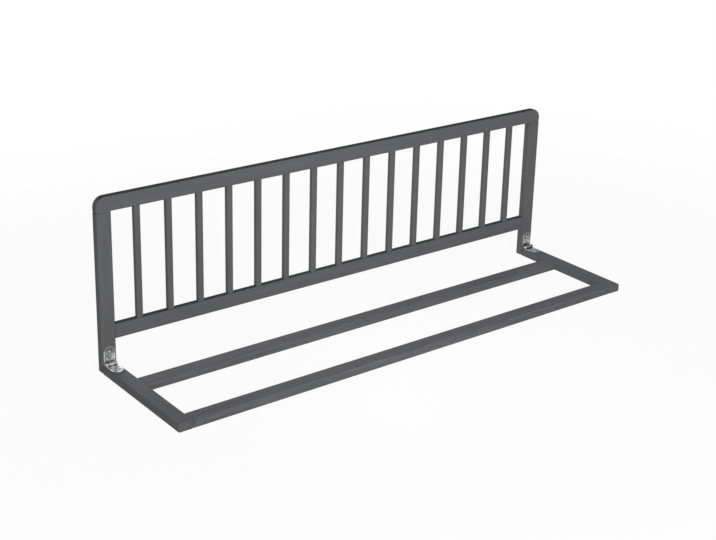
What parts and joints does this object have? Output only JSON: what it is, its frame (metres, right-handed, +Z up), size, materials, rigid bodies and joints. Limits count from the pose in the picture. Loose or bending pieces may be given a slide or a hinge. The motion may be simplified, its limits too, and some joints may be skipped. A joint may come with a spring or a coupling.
{
  "type": "folding bed guard rail",
  "caption": "Slatted wooden bed guard rail: an upright barrier with rounded top corners, hinged in its inner corners to a flat base frame that slides under the mattress.",
  "frame": {"origin": "on the surface that the base lies on, under the middle of the standing rail", "axes": "+X along the bed, to the right as seen from the mattress; +Y away from the mattress, from the base to the barrier; +Z up"},
  "size_m": [1.2, 0.317, 0.376],
  "materials": {
    "painted_wood": "dark grey satin paint over a fine wood grain",
    "zinc_steel": "bright bluish zinc plating",
    "beech": "bare beech"
  },
  "bodies": {
    "base": {"left_arm": "painted_wood", "right_arm": "painted_wood", "inner_rail": "painted_wood", "front_rail": "painted_wood", "left_hinge_arm_leaf": "zinc_steel", "left_hinge_pin": "zinc_steel", "left_hinge_arm_screw_1": "zinc_steel", "left_hinge_arm_screw_2": "zinc_steel", "left_hinge_arm_screw_3": "zinc_steel", "right_hinge_arm_leaf": "zinc_steel", "right_hinge_pin": "zinc_steel", "right_hinge_arm_screw_1": "zinc_steel", "right_hinge_arm_screw_2": "zinc_steel", "right_hinge_arm_screw_3": "zinc_steel", "left_inner_dowel_1": "beech", "left_inner_dowel_2": "beech", "left_front_dowel_1": "beech", "left_front_dowel_2": "beech", "right_inner_dowel_1": "beech", "right_inner_dowel_2": "beech", "right_front_dowel_1": "beech", "right_front_dowel_2": "beech"},
    "barrier": {"top_rail": "painted_wood", "bottom_rail": "painted_wood", "left_post": "painted_wood", "right_post": "painted_wood", "slat_01": "painted_wood", "slat_02": "painted_wood", "slat_03": "painted_wood", "slat_04": "painted_wood", "slat_05": "painted_wood", "slat_06": "painted_wood", "slat_07": "painted_wood", "slat_08": "painted_wood", "slat_09": "painted_wood", "slat_10": "painted_wood", "slat_11": "painted_wood", "slat_12": "painted_wood", "slat_13": "painted_wood", "slat_14": "painted_wood", "slat_15": "painted_wood", "left_hinge_post_leaf": "zinc_steel", "left_hinge_post_screw_1": "zinc_steel", "left_hinge_post_screw_2": "zinc_steel", "left_hinge_post_screw_3": "zinc_steel", "right_hinge_post_leaf": "zinc_steel", "right_hinge_post_screw_1": "zinc_steel", "right_hinge_post_screw_2": "zinc_steel", "right_hinge_post_screw_3": "zinc_steel", "left_top_dowel_1": "beech", "left_top_dowel_2": "beech", "left_bottom_dowel_1": "beech", "left_bottom_dowel_2": "beech", "right_top_dowel_1": "beech", "right_top_dowel_2": "beech", "right_bottom_dowel_1": "beech", "right_bottom_dowel_2": "beech"}
  },
  "joints": [
    {"name": "barrier_fold", "type": "hinge", "parent": "base", "child": "barrier", "pos_m": [0, 0.132, 0.0223], "axis": [1, 0, 0], "range_deg": [0, 92.6]}
  ]
}
